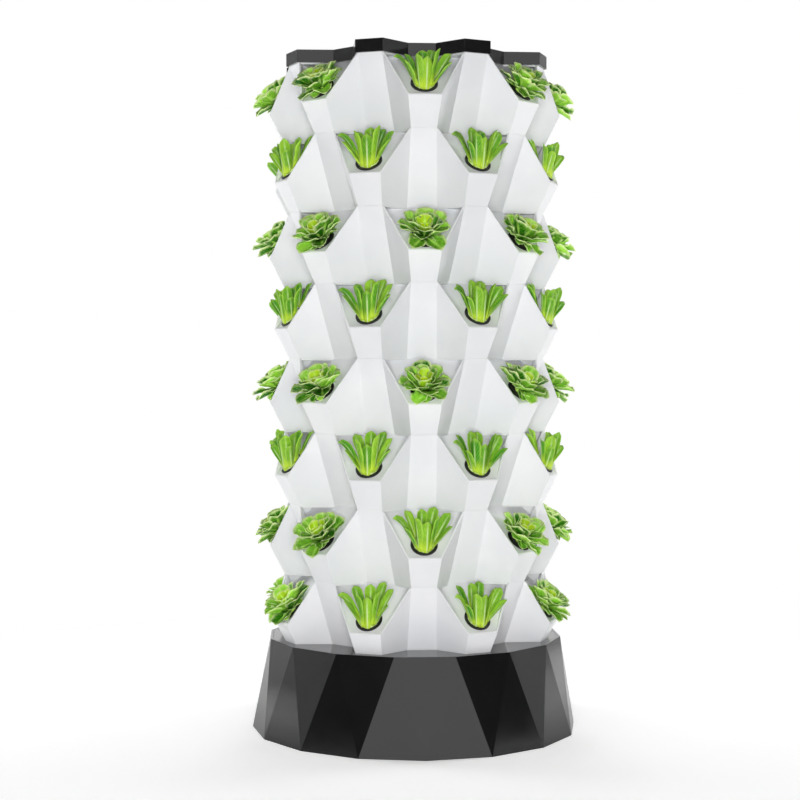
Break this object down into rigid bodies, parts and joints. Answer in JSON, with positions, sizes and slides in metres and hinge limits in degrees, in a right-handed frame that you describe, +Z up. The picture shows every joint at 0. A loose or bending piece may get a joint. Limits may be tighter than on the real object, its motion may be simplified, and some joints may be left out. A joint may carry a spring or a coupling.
{
  "type": "hydroponic tower",
  "caption": "Free-standing hydroponic tower of stacked white tiers with planting pods, net cups and leafy plants, on a black faceted water tank with a pump and riser.",
  "frame": {"origin": "on the floor, under the tower's axis", "axes": "+Z up along the tower, front at -Y, +X to the right"},
  "size_m": [0.547, 0.547, 1.121],
  "materials": {
    "tier_plastic": "semi-gloss moulded plastic",
    "black_plastic": "glossy moulded plastic",
    "cup_plastic": "satin moulded plastic",
    "sponge": "open-cell foam",
    "leaf": "waxy leaf",
    "pump_plastic": "moulded plastic",
    "pipe_plastic": "extruded plastic",
    "rubber": "soft rubber",
    "shaft_ceramic": "ground ceramic",
    "float_plastic": "moulded plastic",
    "pin_steel": "stainless steel"
  },
  "bodies": {
    "base": {"base_tank": "black_plastic", "pump_body": "pump_plastic", "pump_cover": "pump_plastic", "pump_shaft": "shaft_ceramic", "pump_feet": "rubber", "riser_pipes": "pipe_plastic", "riser_couplers": "pipe_plastic"},
    "deck": {"tank_deck": "black_plastic", "deck_gasket": "rubber", "fill_flap_pin": "pin_steel", "float_guide": "black_plastic", "cable_grommet": "rubber"},
    "fill_flap": {"fill_flap": "black_plastic"},
    "level_float": {"level_float": "float_plastic"},
    "impeller": {"pump_impeller": "pipe_plastic"},
    "drain_plug": {"drain_plug": "black_plastic", "drain_seal": "rubber"},
    "tier_1": {"planting_tier_1": "tier_plastic", "net_cups_tier_1": "cup_plastic", "sponge_plugs_tier_1": "sponge", "plants_tier_1": "leaf"},
    "tier_2": {"planting_tier_2": "tier_plastic", "net_cups_tier_2": "cup_plastic", "sponge_plugs_tier_2": "sponge", "plants_tier_2": "leaf"},
    "tier_3": {"planting_tier_3": "tier_plastic", "net_cups_tier_3": "cup_plastic", "sponge_plugs_tier_3": "sponge", "plants_tier_3": "leaf"},
    "tier_4": {"planting_tier_4": "tier_plastic", "net_cups_tier_4": "cup_plastic", "sponge_plugs_tier_4": "sponge", "plants_tier_4": "leaf"},
    "tier_5": {"planting_tier_5": "tier_plastic", "net_cups_tier_5": "cup_plastic", "sponge_plugs_tier_5": "sponge", "plants_tier_5": "leaf"},
    "tier_6": {"planting_tier_6": "tier_plastic", "net_cups_tier_6": "cup_plastic", "sponge_plugs_tier_6": "sponge", "plants_tier_6": "leaf"},
    "tier_7": {"planting_tier_7": "tier_plastic", "net_cups_tier_7": "cup_plastic", "sponge_plugs_tier_7": "sponge", "plants_tier_7": "leaf"},
    "tier_8": {"planting_tier_8": "tier_plastic", "net_cups_tier_8": "cup_plastic", "sponge_plugs_tier_8": "sponge", "plants_tier_8": "leaf", "water_distributor": "tier_plastic"},
    "lift_out_cup": {"lift_out_net_cup": "cup_plastic", "lift_out_sponge_plug": "sponge", "lift_out_plant": "leaf"},
    "lid": {"lid": "black_plastic"}
  },
  "joints": [
    {"name": "deck_lift", "type": "slide", "parent": "base", "child": "deck", "axis": [0, 0, 1], "range_m": [0, 0.1]},
    {"name": "tier_1_lift", "type": "slide", "parent": "deck", "child": "tier_1", "axis": [0, 0, 1], "range_m": [0, 0.12]},
    {"name": "tier_2_lift", "type": "slide", "parent": "tier_1", "child": "tier_2", "axis": [0, 0, 1], "range_m": [0, 0.12]},
    {"name": "tier_3_lift", "type": "slide", "parent": "tier_2", "child": "tier_3", "axis": [0, 0, 1], "range_m": [0, 0.12]},
    {"name": "tier_4_lift", "type": "slide", "parent": "tier_3", "child": "tier_4", "axis": [0, 0, 1], "range_m": [0, 0.12]},
    {"name": "tier_5_lift", "type": "slide", "parent": "tier_4", "child": "tier_5", "axis": [0, 0, 1], "range_m": [0, 0.12]},
    {"name": "tier_6_lift", "type": "slide", "parent": "tier_5", "child": "tier_6", "axis": [0, 0, 1], "range_m": [0, 0.12]},
    {"name": "tier_7_lift", "type": "slide", "parent": "tier_6", "child": "tier_7", "axis": [0, 0, 1], "range_m": [0, 0.12]},
    {"name": "tier_8_lift", "type": "slide", "parent": "tier_7", "child": "tier_8", "axis": [0, 0, 1], "range_m": [0, 0.12]},
    {"name": "lid_lift", "type": "slide", "parent": "tier_8", "child": "lid", "axis": [0, 0, 1], "range_m": [0, 0.1]},
    {"name": "cup_pull", "type": "slide", "parent": "tier_6", "child": "lift_out_cup", "axis": [0, -0.7022, 0.712], "range_m": [0, 0.06]},
    {"name": "fill_flap_hinge", "type": "hinge", "parent": "deck", "child": "fill_flap", "pos_m": [0, 0.22418, 0.1592], "axis": [-1, 0, 0], "range_deg": [0, 100]},
    {"name": "float_rise", "type": "slide", "parent": "deck", "child": "level_float", "axis": [0, 0, 1], "range_m": [0, 0.05]},
    {"name": "impeller_spin", "type": "hinge", "parent": "base", "child": "impeller", "pos_m": [0, 0, 0.037], "axis": [0, 1, 0], "continuous": true},
    {"name": "drain_plug_pull", "type": "slide", "parent": "base", "child": "drain_plug", "axis": [-0.1933, 0.9718, 0.1354], "range_m": [0, 0.03]}
  ]
}
